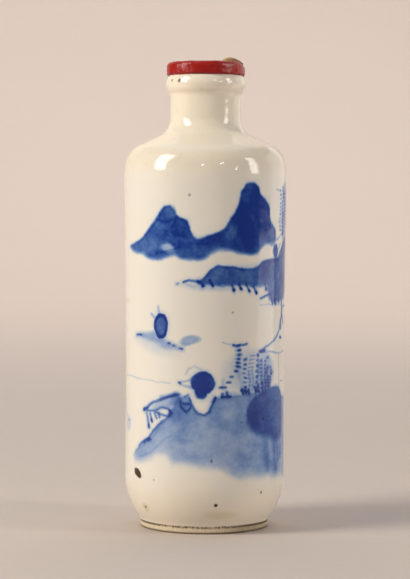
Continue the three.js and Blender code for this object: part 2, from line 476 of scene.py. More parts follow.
class Brush:
    def __init__(self, finish, spot, tools):
        self.finish = finish
        self.spot = spot
        self.tools = tools
        self.around, self.up, _ = finish.parts(spot)
        self.aroundNext = self.around + outlineStep
        self.pigment = None

    def use(self, tool, **sockets):
        return self.finish.node("ShaderNodeGroup", {"node_tree": self.tools[tool]}, sockets)

    def add(self, amount):
        self.pigment = amount if self.pigment is None else self.pigment + amount

    def below(self, outline):
        here = self.finish.node("ShaderNodeFloatCurve", {"points": outline}, {"Value": self.around})
        onward = self.finish.node("ShaderNodeFloatCurve", {"points": outline}, {"Value": self.aroundNext})
        return self.use("edge", up=self.up, here=here, next=onward)

    def wash(self, top, bottom, strength, soft=0.25, foot=0.25, rim=0):
        # filled between two outlines, softer or harder at its foot, with pigment bleeding into the glaze
        ends = (self.around - top[0][0]).lesser(top[-1][0] - self.around)
        under, over = self.below(top), -self.below(bottom)
        self.add(under.lesser(ends).fade(-soft, soft) * over.fade(-foot, foot) * strength)
        self.add(under.lesser(ends).lesser(over).fade(-0.85, 0.25) * glaze["bleed"])
        if rim:
            depth = under.lesser(over) if foot < 0.4 else under
            line = depth.fade(-0.12, 0.14) * depth.fade(0.66, 0.22)
            self.add(line * over.fade(-foot, foot) * ends.fade(0, 0.3) * rim)

    def oval(self, middle, radii, turn=0):
        cos, sin = math.cos(math.radians(turn)), math.sin(math.radians(turn))
        along, across = (cos / radii[0], sin / radii[0], 0), (-sin / radii[1], cos / radii[1], 0)
        return self.use("oval", spot=self.spot, middle=(*middle, 0), along=along, across=across,
                        size=min(radii))

    def blot(self, middle, radii, strength, outer, inner, turn=0):
        # a soft spot, with nothing a little outside its oval and all of it a little inside
        self.add(self.oval(middle, radii, turn).fade(outer, -inner) * strength)

    def vary(self, middle, radii, change, outer, inner, turn=0):
        # more or less of all that is laid so far, round one place
        self.pigment = self.pigment * (1 + self.oval(middle, radii, turn).fade(outer, -inner) * change)

    def strokes(self, lines, halfWidth, strength, soft=0.14):
        # each line is a list of places, joined up; all of one set have one width and strength
        nearest = 9
        for line in lines:
            for start, end in zip(line, line[1:]):
                along = (end[0] - start[0], end[1] - start[1], 0)
                length2 = along[0] ** 2 + along[1] ** 2
                share = (along[0] / length2, along[1] / length2, 0)
                nearest = self.use("stretch", nearest=nearest, spot=self.spot, start=(*start, 0),
                                   along=along, share=share)
        self.add(nearest.fade(halfWidth + soft, halfWidth - soft) * strength)
        if strength > 1:
            self.add(nearest.fade(halfWidth + 0.7, halfWidth - 0.1) * glaze["bleed"] * 0.8)

    def dabs(self, start, end, halfLength, pitch, strength, thick=0.17):
        count = max(1, round((end[1] - start[1]) / pitch))
        dab = self.use("dabs", around=self.around, up=self.up, startAround=start[0], startUp=start[1],
                       pitch=(end[1] - start[1]) / count, count=count, lean=(end[0] - start[0]) / count,
                       half=halfLength, thick=thick)
        self.add(dab * strength)


def farHills(brush):
    top = [
        (-16.2, 48.2), (-14.4, 49), (-12.9, 49.6), (-11.4, 50.5), (-10, 51.7), (-8.6, 53.3), (-7.7, 54.6),
        (-7, 55.2), (-6.1, 55.3), (-5.3, 54.8), (-4.8, 53.8), (-4.1, 53.3), (-3.2, 52.8), (-2.6, 51.8),
        (-2.1, 50.7), (-1, 49.9), (0.6, 50.3), (3.4, 51.8), (4.3, 53.2), (5.3, 55), (6, 56.8),
        (6.7, 58.4), (7.5, 59.2), (8.5, 59.2), (9.4, 58.4), (10, 57.2), (11.6, 55.8), (12.2, 54.8),
        (12.6, 53), (13.4, 51.9), (14.2, 51), (14.6, 49.8),
    ]
    bottom = [
        (-16.2, 48.2), (-14.6, 47.6), (-12, 47.3), (-10.2, 46.6), (-8.6, 46.3), (-6.8, 46.8),
        (-5.2, 47.2), (-4, 46.6), (-2, 46.4), (-0.3, 46.7), (1.2, 47.6), (2.6, 48.1), (4.4, 48),
        (6, 47.5), (7.8, 47.3), (9.4, 47.4), (10.6, 48.5), (12, 49), (13, 48.9), (14.6, 49.8),
    ]
    brush.wash(top, bottom, 2.95, 0.32, 0.55, rim=0.6)
    brush.vary((8.6, 53.6), (3.2, 6), 0.5, 1.3, 1.3, -14)  # the dark side of the tall peak
    brush.vary((-12.6, 48.4), (3.4, 1.5), -0.28, 1, 0.8, 8)
    brush.vary((-6.4, 48.3), (1.35, 0.75), -0.72, 0.35, 0.35, -12)  # a gap left nearly bare
    brush.strokes([[(-8.1, 52.8), (-7, 52.5), (-5.6, 53.1)], [(-4.8, 53.6), (-5.6, 51.8)],
                   [(-5.9, 51.2), (-4.4, 50.6), (-2.8, 50)], [(-8.7, 47.4), (-6.6, 47.7), (-4.4, 48.4)],
                   [(-6.4, 49.6), (-5.2, 48.9)], [(-2.4, 49.2), (-0.9, 49.2), (0.3, 49)]], 0.2, 1, 0.3)
    brush.strokes([[(-7.6, 50.6), (-5, 50.9), (-2.8, 49.6)], [(-4.4, 49.4), (-1.2, 48.9), (2.2, 49.4)]],
                  0.9, 0.9, 0.9)
    brush.strokes([[(6.2, 56.4), (5.2, 53.6), (3.2, 50.6)], [(8.8, 57.4), (10.2, 55), (11, 53)],
                   [(7.4, 54), (6.6, 51), (4.4, 49.2)]], 0.3, 0.6, 0.4)


def nearHills(brush):
    top = [
        (-1.2, 42.8), (-0.4, 43.3), (0.6, 44.4), (1.4, 45.1), (2.3, 45.5), (4, 45.3), (6, 45), (8, 45),
        (9.6, 45.4), (11, 46.1), (13.4, 46.5), (15, 46.7), (16.2, 47.9), (17.8, 49.3), (20, 49.9),
        (21.7, 49.5),
    ]
    bottom = [
        (-1.2, 42.5), (0.3, 42.2), (4.2, 42.1), (9.2, 41.9), (11.6, 42.1), (12.2, 40.8), (12.8, 39.3),
        (15, 39.1), (18, 39.4), (20, 40.1), (21.7, 41.2),
    ]
    brush.wash(top, bottom, 2.7, 0.26, 0.42, rim=0.7)
    brush.blot((0.6, 41.9), (3.6, 0.6), 0.35, 0.5, 0.3, -3)
    brush.blot((8.4, 44), (3.4, 1.6), 0.55, 0.7, 0.8)
    brush.strokes([[(-3.5, 42.6), (-2.6, 42.9), (-1.2, 42.9)], [(10.3, 39.8), (11.6, 40.1), (13, 40.4)]],
                  0.2, 2.2)
    brush.strokes([[(-4.7, 42.3), (-4.4, 42.35)]], 0.12, 1.5)
    # short strokes below the shore, each with a drop at its end
    reeds = [[(-1.1, 42.9), (-0.4, 42)], [(0.7, 42.9), (1.2, 42)], [(4.6, 42), (5.1, 41.1)],
             [(5.9, 42), (6.3, 41.2)], [(7.3, 42), (7.9, 41)], [(8.7, 41.9), (9.4, 40.9)],
             [(11.4, 42.2), (11.7, 41.3)], [(13, 39.6), (13.5, 38.9)], [(14.1, 39.5), (14.5, 38.8)],
             [(15.5, 39.5), (15.9, 38.9)]]
    brush.strokes(reeds, 0.2, 2, 0.2)
    brush.strokes([[(end[0] - 0.1, end[1] + 0.1), end] for _, end in reeds], 0.22, 2.4, 0.16)
    brush.strokes([[(2.2, 42), (3.2, 41.8)], [(-3, 42.2), (-1.8, 41.9)], [(10, 38.7), (17, 38.5)]], 0.1, 0.5)
    brush.blot((14.3, 47.8), (0.75, 1.05), 3, 0.25, 0.2)
    brush.strokes([[(14.9, 49.6), (16.8, 50.6)], [(14.6, 46.9), (15.9, 48.9)]], 0.14, 1)


def boat(brush):
    # a sail with a dark edge, and its mast
    sail = brush.oval((-7.82, 35.3), (1.42, 1.95)).lesser(brush.oval((-7.75, 34.3), (1.05, 1.2)))
    brush.add(sail.fade(0.24, -0.2) * 3.1 + sail.fade(0.2, -0.02) * sail.fade(-0.5, -0.2) * 3.4)
    brush.add(sail.fade(0.9, 0) * 0.3)
    brush.strokes([[(-8.3, 38.5), (-8.1, 37.1)], [(-9.9, 37.1), (-9.3, 36.7)]], 0.22, 0.8, 0.22)
    # the hull
    top = [(-13.9, 33.4), (-11.5, 33.9), (-9.6, 34.1), (-7.5, 33.3), (-5.6, 32.3), (-3.8, 31.8)]
    bottom = [(-13.9, 33.3), (-11.6, 33), (-9.4, 32.4), (-7.4, 31.8), (-5.4, 31.5), (-3.8, 31.5)]
    brush.wash(top, bottom, 0.5, 0.4, 0.5)
    brush.blot((-9.4, 31.9), (4.2, 1.2), 0.22, 1, 0.8, -14)
    brush.strokes([[(-13.6, 33.4), (-12.4, 33.5)], [(-6.3, 32.5), (-6.1, 32.4)], [(-5.6, 32.1), (-5.3, 32)],
                   [(-4.4, 31.65), (-4, 31.6)]], 0.14, 1.9)
    brush.blot((-2.6, 32.9), (1.75, 0.78), 1.1, 0.25, 0.25, 6)
    brush.strokes([[(-18.5, 26.2), (-13, 26.1), (-8, 25.7), (-5.9, 25.6)]], 0.1, 0.45, 0.16)


def islet(brush):
    dome = brush.oval((-0.25, 25.75), (1.95, 1.85)).lesser(brush.oval((-0.6, 24.5), (1.05, 1.5)))
    brush.add(dome.fade(0.24, -0.24) * 4.6 + dome.fade(0.9, 0) * 0.3)
    brush.strokes([[(-4.2, 25.8), (-2.2, 26.2)], [(-4.2, 25.6), (-2, 24.8)]], 0.18, 0.8, 0.22)
    brush.strokes([[(-4.35, 25.7), (-4.1, 25.65)]], 0.2, 2.4)
    brush.strokes([[(-3.1, 27.3), (-2.6, 28.2), (-1.7, 28.5), (-0.8, 28)]], 0.2, 0.4, 0.25)


def bank(brush):
    top = [
        (-14.6, 12.8), (-13.6, 14), (-12, 14.8), (-10.4, 15.9), (-8.2, 18.3), (-6, 20.2), (-5.4, 21.6),
        (-4.4, 23.3), (-3, 23.4), (-2, 22), (-1.3, 20.8), (-0.2, 20.4), (0.8, 21.4), (1.6, 23.1),
        (2.4, 23.4), (5, 23.5), (7.5, 23.9), (12.6, 24), (14, 24.5), (15.6, 24.5), (16.9, 23.8),
        (18, 22.8), (21.7, 22.3),
    ]
    bottom = [
        (-14.6, 12.8), (-13.8, 12.3), (-12.4, 12.4), (-10.4, 13.2), (-8.4, 14), (-6.6, 13.8), (-5, 12.5),
        (-2.8, 12.4), (0, 12.1), (2.8, 11.6), (4.4, 10.8), (7, 10.1), (10, 10.2), (12.6, 10.1), (14, 9.5),
        (17, 9.6), (19.4, 9), (21.7, 9.2),
    ]
    brush.wash(top, bottom, 0.96, 0.3, 1.5, rim=0.2)
    brush.vary((2.8, 15.2), (4.6, 3.4), -0.18, 1.5, 1.5, -8)
    # the rock
    top = [
        (7.2, 20.2), (7.9, 22), (9.4, 23.4), (11.6, 24.2), (14, 24.6), (15.6, 24.6), (16.9, 23.9),
        (17.8, 22.8),
    ]
    bottom = [(7.2, 20.2), (7.7, 18.6), (8.9, 17.2), (11, 16.6), (13, 16), (15, 15.6), (17.8, 16)]
    brush.wash(top, bottom, 1.75, 0.3, 0.8)
    brush.blot((-2.8, 17.2), (1.8, 1.5), 0.14, 1, 0.8)
    brush.blot((2, 21.8), (1.2, 1.6), 0.3, 1, 0.8)
    brush.blot((7.4, 14), (3, 2), 0.25, 1, 0.8)
    brush.add(brush.oval((9.2, 20.4), (1.9, 3.2), 8).fade(0.6, -0.9) * brush.around.fade(7, 7.6) * 0.7)
    brush.strokes([[(11.4, 17), (11.8, 14), (12.2, 11)], [(13.8, 17), (14.4, 13.6), (15, 10.6)],
                   [(16.2, 17), (16.8, 13)]], 0.6, 0.75, 0.8)
    brush.strokes([[(8.4, 18.6), (5.6, 18), (3.4, 18.8)], [(12, 12), (14, 11)]], 1, 0.5, 0.9)
    brush.strokes([[(14.9, 17.6), (15.4, 14.4), (15.9, 12)]], 0.2, 0.9, 0.3)
    brush.strokes([[(-3.9, 22.4), (-3.3, 19), (-4.2, 16.6)], [(6, 22.6), (5.6, 19.4), (4.2, 16)]],
                  0.7, 0.3, 0.9)


def landing(brush):
    # the landing and its piers, the shore's line, and the curls of rock beside the inlet
    brush.strokes([[(-11.5, 20.9), (-9.4, 22.3), (-6.9, 23.1), (-4.6, 23.7)]], 0.24, 2)
    brush.strokes([[(-7.6, 23.1), (-6, 23.5), (-4.6, 23.8)]], 0.4, 0.8, 0.3)
    brush.strokes([[(-11.5, 20.9), (-10.7, 21.2)]], 0.24, 1.6)
    brush.blot((-6.9, 22.2), (3.1, 0.95), 0.85, 0.35, 0.4, 24)
    brush.blot((-5, 21.4), (1.3, 2.2), 0.6, 0.5, 0.5, -8)
    brush.strokes([[(-11, 20.3), (-10.8, 19.2), (-10.4, 18)], [(-10.2, 20.2), (-9.8, 19)],
                   [(-9.1, 20.3), (-8.7, 19.4)], [(-8.3, 20.3), (-8, 19.6)]], 0.2, 1.6, 0.18)
    brush.strokes([[(-10.5, 18.3), (-10.4, 17.9)], [(-9.9, 19.2), (-9.8, 18.9)], [(-5.9, 20.9), (-6, 20.4)]],
                  0.24, 1.4)
    brush.strokes([[(-10.8, 20.7), (-9, 20.8), (-8, 21.3), (-6.4, 21.2), (-5.7, 20.6), (-6.4, 19.9),
                    (-8, 20.2), (-8.8, 20.6)]], 0.19, 1.7, 0.18)
    brush.strokes([[(-6, 20), (-8, 18.5), (-9.5, 17.3), (-10.5, 16), (-12.9, 14.6)]], 0.2, 1.5)
    brush.strokes([[(-10.2, 15.9), (-11.4, 15.3)]], 0.3, 1.7)
    brush.strokes([[(-12.6, 12.7), (-10.8, 13.3), (-8.2, 15), (-5.8, 16.8)]], 0.12, 0.4, 0.3)
    brush.strokes([[(-4.2, 22.6), (-4, 21.6), (-3.1, 20.7), (-2.3, 21.4), (-2.2, 22.2), (-3.1, 22.1),
                    (-4.1, 22.4)],
                   [(-2.6, 23.2), (-1.9, 21.4), (-1.2, 20.6), (-0.2, 20.35), (0.6, 21), (1.3, 22.4),
                    (1.8, 23.4)],
                   [(-3.4, 23.4), (-2.8, 23.7)]], 0.17, 1.8, 0.16)
    brush.strokes([[(1.3, 22.6), (1.7, 23.2)]], 0.24, 1.6)
    brush.blot((-3, 21.6), (0.75, 0.9), 0.8, 0.3, 0.3)


def trees(brush):
    # stacked dabs, over a haze of thin wash
    brush.blot((8.4, 27.4), (5.6, 3.7), 0.24, 0.9, 0.9)
    brush.blot((5.6, 28.6), (1.2, 3), 0.2, 0.9, 0.9)
    brush.blot((11.6, 27), (2, 3.4), 0.75, 0.9, 0.9)
    brush.blot((7.6, 27.4), (0.8, 3), 0.25, 0.9, 0.9)
    brush.dabs((5.7, 28), (5.8, 32.3), 0.3, 0.74, 2.6, 0.18)
    brush.dabs((3, 24.6), (5.6, 28), 0.4, 0.8, 2.2, 0.14)
    for side in (-0.42, 0.42):
        brush.dabs((5.7 + side, 28), (5.8 + side, 32.3), 0.3, 0.74, 1, 0.16)
        brush.dabs((11.1 + side, 24.4), (10.9 + side * 1.4, 29.6), 0.24, 0.62, 2.8, 0.17)
        brush.dabs((12.7 + side, 24.6), (12.5 + side * 1.2, 28.4), 0.26, 0.58, 2.9, 0.17)
    brush.dabs((7.2, 24.6), (7, 30), 0.34, 0.78, 1.7, 0.16)
    brush.dabs((9.7, 24.4), (9.7, 30.6), 0.26, 0.86, 2.2, 0.24)
    brush.dabs((8.3, 25), (8.5, 30.4), 0.6, 0.62, 0.8, 0.1)
    # trunks
    brush.strokes([[(7.9, 27.6), (8.2, 26), (8, 24.6)], [(8.7, 28.2), (9, 26.2), (8.7, 24.4)]],
                  0.14, 0.8, 0.22)
    brush.strokes([[(9.7, 30.4), (9.9, 27.4), (9.6, 24.2)], [(10.6, 29.6), (10.9, 26.6), (10.7, 24.2)],
                   [(11.4, 28.6), (11.3, 24.3)], [(12.2, 28.4), (12.5, 26), (12.3, 24.4)],
                   [(13, 27.6), (13.1, 24.6)]], 0.16, 0.9, 0.22)
    brush.strokes([[(6.5, 24.5), (6.6, 23.9)], [(7.2, 24.8), (7.2, 24)], [(7.8, 24.5), (7.9, 23.9)],
                   [(3, 24), (3.1, 23.5)], [(3.7, 24.1), (3.8, 23.5)], [(9.2, 25), (9.3, 24.1)],
                   [(10, 25.2), (10.1, 24.2)], [(10.9, 25.4), (10.9, 24.2)], [(11.8, 25.6), (11.8, 24.3)],
                   [(12.6, 25.4), (12.7, 24.4)]], 0.24, 2.3, 0.16)
    brush.strokes([[(3, 32.5), (4.4, 32.3)]], 0.12, 0.5)
    brush.strokes([[(4.9, 32.2), (6.2, 32.1)], [(6.6, 32), (7.4, 32.1)], [(2.9, 23.5), (4.3, 23.4)],
                   [(6.3, 24.3), (7.5, 24.2)], [(9.3, 24.3), (9.9, 24.2)], [(12, 29.7), (12.4, 29.7)],
                   [(2.6, 25.1), (2.8, 25.1)]], 0.19, 2.4)
    brush.strokes([[(3, 26.2), (3.4, 24), (5.2, 23.8)], [(8.2, 24.4), (8.6, 27.2), (9.3, 24.6)],
                   [(5.7, 31.6), (5.9, 28), (6.6, 24.4)], [(11.6, 24.4), (11.8, 28)]], 0.35, 0.42, 0.4)


def tallTree(brush):
    # the tree at the right, above the hut
    brush.blot((18.3, 54), (2.2, 4.8), 0.85, 0.7, 0.5)
    brush.dabs((15.8, 50.8), (15.9, 58.2), 0.34, 0.7, 1.5, 0.2)
    brush.dabs((17.1, 50.2), (17, 58.8), 0.34, 0.62, 2.8, 0.2)
    brush.dabs((18.3, 50.6), (18.2, 57.6), 0.4, 0.58, 2.4)
    brush.dabs((20.2, 51.4), (20, 57), 0.8, 0.55, 2)
    brush.strokes([[(14.4, 57.9), (16, 58)], [(15, 52.6), (16, 52.8)]], 0.12, 0.6)


def hut(brush):
    # its roof, eave and posts
    brush.strokes([[(18.2, 38.2), (16.9, 36), (16.2, 34.6), (15.1, 33.2), (13.7, 32.2), (11.8, 31.5),
                    (10.4, 30.9)]], 0.17, 1.3)
    brush.strokes([[(10.2, 30.8), (11.4, 31)]], 0.26, 2.9)
    brush.strokes([[(10.4, 30.7), (13, 30.6), (16, 30.4), (24, 30.2)], [(16.2, 30.3), (16.3, 24), (16.5, 20)],
                   [(23.6, 30.2), (23.8, 22.2)]], 0.15, 0.75)
    brush.strokes([[(16.4, 33), (17.1, 32.9)], [(17.6, 36.6), (18.4, 35.2)]], 0.24, 2.3)
    brush.strokes([[(17.3, 38.9), (17.3, 36.4), (16.7, 34.6)]], 0.3, 2.2, 0.25)
    brush.strokes([[(18.2, 38.2), (20.4, 38.4), (22.6, 38)], [(22.6, 38), (24.2, 34.6), (26.4, 31.6)],
                   [(24, 30.2), (26.4, 31.4)]], 0.17, 1.3)
    brush.strokes([[(13.5, 27.2), (13.9, 27.2)], [(17, 25.4), (18.6, 25.2)]], 0.13, 0.8)


def leftSliver(brush):
    # what comes round from the left
    brush.strokes([[(-19, 22.2), (-18.9, 20.6), (-18.5, 19.4)], [(-17.2, 18.7), (-16.9, 18.6)]],
                  0.22, 0.9, 0.25)
    brush.blot((-17.3, 18.1), (1.1, 1.4), 0.4, 0.5, 0.4)


def farSide(brush):
    # the same landscape carried on round the back, more sparely
    top = [
        (-21.65, 49.5), (-20, 48.8), (-16, 48.2), (-12.5, 49), (-9, 52.4), (-7.4, 53.6), (-5.8, 53),
        (-3.2, 50.4), (0.5, 49.6), (4, 50.6), (7.4, 49), (11, 47.6),
    ]
    bottom = [
        (-21.65, 41.2), (-19, 42.2), (-16, 44.4), (-13.4, 45.9), (-10, 46.9), (-6, 46.5), (0, 47.2),
        (6, 47.6), (11, 47.6),
    ]
    brush.wash(top, bottom, 2.6, 0.26, 0.42, rim=0.7)
    # the hill left of them
    top = [(13.6, 48.2), (16.2, 50), (18, 52.8), (19.2, 54.2), (20.3, 53.8), (21.3, 51.4), (22.7, 48.2)]
    bottom = [(13.6, 48.2), (16.4, 47.2), (19.6, 46.6), (22.7, 47.6)]
    brush.wash(top, bottom, 1.5, 0.4, 0.4, rim=0.5)
    # the end of the bank, with its rock and trees
    top = [(-21.65, 22.3), (-18, 21.6), (-14.5, 19.6), (-10, 18.6), (-4, 17), (2, 14.6), (7, 12.8)]
    bottom = [(-21.65, 9.2), (-19, 9.6), (-14, 10.6), (-8, 11.2), (-2, 12), (3, 12.2), (7, 12.8)]
    brush.wash(top, bottom, 0.98, 0.3, 1.1, rim=0.2)
    brush.add(brush.oval((-15, 17.6), (4.4, 2.7), 8).fade(0.4, -0.4) * brush.up.fade(21.2, 20.6) * 0.95)
    brush.strokes([[(-12, 15.6), (-8.4, 15), (-5.6, 13.4)], [(-18, 14.6), (-14.6, 13.4), (-11.6, 12.4)]],
                  0.5, 0.5, 0.7)
    brush.dabs((-14.6, 20.6), (-14.2, 30.6), 0.75, 0.58, 2.3)
    brush.dabs((-11.8, 19.2), (-11.9, 26.6), 0.5, 0.55, 2)
    brush.dabs((-16.6, 21.4), (-16.9, 26), 0.45, 0.55, 1.8)
    brush.strokes([[(-14.2, 30.4), (-14.4, 25), (-14.8, 20)], [(-11.9, 26), (-11.8, 19)]], 0.3, 0.4, 0.35)
    # an islet with two trees
    top = [(7, 21.4), (9.4, 22.4), (12, 24), (14.8, 24.5), (17.4, 23.2), (20, 21.6), (21.6, 20.8)]
    bottom = [(7, 21.4), (10.4, 20.6), (15.4, 20.2), (19, 20.4), (21.6, 20.8)]
    brush.wash(top, bottom, 1.8, rim=0.7)
    brush.dabs((14, 24), (14.2, 29.4), 0.55, 0.56, 2.2)
    brush.dabs((16.2, 24), (16.4, 27.6), 0.4, 0.56, 1.9)
    # ripples
    brush.strokes([[(6, 40.4), (9, 40.7), (12.4, 40.4)], [(-2, 37.4), (1.6, 37.6)], [(16, 36.2), (21, 36.4)],
                   [(-5, 27.6), (-0.5, 27.8), (4, 27.6)], [(2, 23.4), (5.4, 23.5)]], 0.11, 0.5, 0.16)
    # a second boat
    sail = brush.oval((3.2, 33.4), (1.1, 1.6))
    brush.add(sail.fade(0.2, -0.2) * 1.9 + sail.fade(0.22, 0) * sail.fade(-0.65, -0.35) * 1.4)
    brush.strokes([[(3.1, 36), (3.2, 35)]], 0.15, 0.7, 0.2)
    brush.strokes([[(0.4, 31.5), (2.6, 31.1), (5.2, 31.3), (6.6, 31.7)]], 0.28, 0.8, 0.3)


glaze = {
    "body": (0.79, 0.745, 0.675),
    "warm": (0.84, 0.74, 0.595),
    "stain": (0.55, 0.42, 0.27),
    "oldSmear": (0.6, 0.47, 0.2),
    "iron": (0.05, 0.024, 0.009),
    "bareClay": (0.72, 0.6, 0.42),
    "clayGrit": (0.42, 0.29, 0.17),
    "soiledClay": (0.27, 0.2, 0.12),
    "footLine": (0.09, 0.05, 0.022),
    "footLineHeight": 1.18,
    "greenShare": 0.65,  # how much of green and of blue the pigment takes, where it takes 1 of red
    "blueShare": 0.07,
    "blueShareGrowth": 0.06,
    "blueShareMost": 0.215,
    "strongest": 4.8,
    "bleed": 0.26,
    "wobble": 0.42,
    "shake": 0.13,
    "roughness": 0.07,
    "shine": 0.43,
    "waveDepth": 0.12,
    "speckSpacing": 3.1,
    "burntSpots": (((2, 5.2), 0.32, 1), ((10.9, 6.8), 0.22, 0.8), ((-12.3, 4.15), 0.26, 0.7),
                   ((-9.2, 9.2), 0.2, 0.45), ((11.2, 19.2), 0.26, 0.85), ((6.3, 19.1), 0.18, 0.6),
                   ((1.3, 12.7), 0.26, 0.6), ((-2.7, 57.2), 0.22, 0.55), ((4.9, 37.5), 0.22, 0.55)),
}


def wallSpots(finish):
    # places on the wall seen from the front and from the back, in millimetres, shaken as a hand shakes
    x, y, z = finish.parts(finish.place)
    size = wallRadius(40)
    wander = finish.vector("SUBTRACT", finish.noise(3.4, 1, seed=1, output=1), (0.5, 0.5, 0.5))
    shake = finish.vector("SUBTRACT", finish.noise(0.7, 2, seed=2, output=1), (0.5, 0.5, 0.5))
    moved = finish.vector("ADD", finish.scaled(wander, glaze["wobble"] * 2),
                          finish.scaled(shake, glaze["shake"] * 2))
    spots = []
    for side in (1, -1):
        around = (x * side).math("ARCTAN2", -y * side) * size
        flat = finish.node("ShaderNodeCombineXYZ", {}, {0: around, 1: z / mm - 0.15})
        spots.append(finish.vector("MULTIPLY", finish.vector("ADD", flat, moved), (1, 1, 0)))
    return spots


def paintedBlue(finish, spots, tools, outside):
    # what the pigment lets through, thin to thick, with the painting brushed on both sides
    front, back = (Brush(finish, spot, tools) for spot in spots)
    for part in (farHills, nearHills, boat, islet, bank, landing, trees, tallTree, hut, leftSliver):
        part(front)
    farSide(back)
    mottled = finish.noise(3.2, 3, 0.55, seed=3).fade(0.28, 0.72) * 0.5 + 0.78
    pooled = finish.noise(0.6, 2, 0.6, seed=4).fade(0.3, 0.7) * 0.16 + 0.92
    pigment = (front.pigment + back.pigment) * mottled * pooled * outside
    stops = []
    for strength in (0, 0.25, 0.6, 1, 1.5, 2.1, 2.9, 3.8, glaze["strongest"]):
        blueShare = min(glaze["blueShareMost"], glaze["blueShare"] + glaze["blueShareGrowth"] * strength)
        colour = tuple(math.exp(-strength * share) for share in (1, glaze["greenShare"], blueShare))
        stops.append((strength / glaze["strongest"], colour))
    return finish.ramp(pigment / glaze["strongest"], stops)


def agedGlaze(finish, front, tools, up, radius, outside):
    # warmer at the neck and the foot, darker on the shoulder, then specks, burnt spots and old smears
    patchy = finish.noise(7, 3, 0.6, seed=5).fade(0.42, 0.66)
    warmth = (up.fade(58, 65) * 0.75).greater(up.fade(13, 4) * 0.7) + patchy * 0.22
    ground = finish.mix(warmth.clamped(), glaze["body"], glaze["warm"])
    shade = finish.noise(1.6, 3, 0.6, seed=6).fade(0.62, 0.74) * up.fade(60, 64)
    # the shoulder a little darker, mixed towards the stain colour
    shoulderDarkening = up.fade(60.5, 63.5) * up.fade(70, 67) * 0.17
    ground = finish.mix(shade * 0.25 + shoulderDarkening, ground, glaze["stain"])
    marks = Brush(finish, front, tools)
    marks.blot((-13.4, 9.75), (1.25, 0.75), 1, 0.12, 0.14, -32)
    for middle, size, strength in glaze["burntSpots"]:
        marks.blot(middle, (size, size * 0.85), strength, 0.12, 0.1, 30)
    cells = {"Vector": finish.scaled(finish.place, 1 / (glaze["speckSpacing"] * mm)), "Scale": 1}
    specks = finish.node("ShaderNodeTexVoronoi", {}, cells)
    chance = finish.parts(finish.node("ShaderNodeTexVoronoi", {}, cells, 1))[0]
    marks.add(specks.fade(0.045, 0.02) * chance.fade(0.86, 0.9) * 0.6)
    lipSpots = marks.oval((-9.9, 76.55), (0.66, 0.33)).fade(0.12, -0.1).greater(
        marks.oval((-13.9, 76.75), (0.42, 0.2)).fade(0.1, -0.06)) * radius.fade(6.3, 6.5)
    smears = Brush(finish, front, tools)
    smears.blot((-12.3, 4.1), (0.9, 0.75), 0.4, 0.35, 0.3)
    smears.blot((3.2, 3.3), (2.6, 0.5), 0.32, 0.5, 0.3)
    smears.blot((-18.6, 38.9), (1.3, 0.3), 0.3, 0.4, 0.2)
    ground = finish.mix((smears.pigment * outside).clamped(), ground, glaze["oldSmear"])
    return finish.mix((marks.pigment * outside + lipSpots * 0.8).clamped(), ground, glaze["iron"])


def bareFoot(finish, x, y, up, radius):
    # gritty clay, soiled at the right, a dark line along its lower edge that is part dirt and part painted
    # contact shadow, and how far the glaze leaves it bare
    bare = up.fade(1.28, 1.12) * radius.fade(8.9, 9.2)
    grit = finish.noise(0.42, 3, 0.7, seed=8)
    colour = finish.mix(grit.fade(0.48, 0.72) * 0.55, glaze["bareClay"], glaze["clayGrit"])
    soiled = (x / mm).fade(2.4, 6.5) * (-y / mm).fade(0, 3)
    colour = finish.mix(soiled * 0.6, colour, glaze["soiledClay"])
    # a dark line along the lower edge of the foot: part dirt, part painted contact shadow
    colour = finish.mix(up.fade(0.46, 0.2) * radius.fade(10.5, 10.8) * 0.8, colour, glaze["footLine"])
    return colour, bare, grit


def glazeEdgeLine(finish, x, up, radius):
    # the dark line where the glaze stops, whole at the sides and broken between them
    side = x / mm / 11
    dashes = finish.noise(0.55, 2, 0.7, seed=9, stretch=(1, 1, 0.3)).fade(0.4, 0.58)
    whole = side.fade(0.1, 0.75).greater(side.fade(-0.5, -0.85) * 0.9)
    line = abs(up - glaze["footLineHeight"]).fade(0.36, 0.1)
    line = line * (dashes.greater(whole) * (0.62 + abs(side) * 0.28) + 0.08)
    return line * radius.fade(10.4, 10.9)


def paintedPorcelain():
    finish = Finish("paintedPorcelain")
    tools = {"stretch": stretchTool(), "oval": ovalTool(), "edge": edgeTool(), "dabs": dabTool()}
    spots = wallSpots(finish)
    x, y, z = finish.parts(finish.place)
    up = z / mm
    radius = (x * x + y * y).root() / mm
    outside = radius.fade(12, 12.25)
    ground = agedGlaze(finish, spots[0], tools, up, radius, outside)
    colour = finish.mix(1, ground, paintedBlue(finish, spots, tools, outside), "MULTIPLY")
    clay, bare, grit = bareFoot(finish, x, y, up, radius)
    line = glazeEdgeLine(finish, x, up, radius)
    colour = finish.mix(line, finish.mix(bare, colour, clay), glaze["footLine"])
    rough = bare * 0.6 + finish.noise(5, 2, seed=10) * 0.06 + glaze["roughness"] + line * 0.2
    waves = finish.noise(4.5, 2, 0.5, seed=11) * 0.7 + finish.noise(0.9, 2, 0.5, seed=12) * 0.05
    normal = finish.bump(waves + grit * bare * 0.4, glaze["waveDepth"])
    print("porcelain painted,", len(finish.tree.nodes), "nodes")
    return finish.surface(colour, rough, normal, glaze["shine"])


def makeBottle():
    outside, inside = bottleProfile()
    bottle = spunPiece("paintedBottle", outside + inside, bottleForm["sides"])
    bakeMap(bottle, outside, inside)
    smooth(bottle, 50)
    place(bottle, "bottle", paintedPorcelain())
    print("bottle modelled,", len(bottle.data.polygons), "faces")


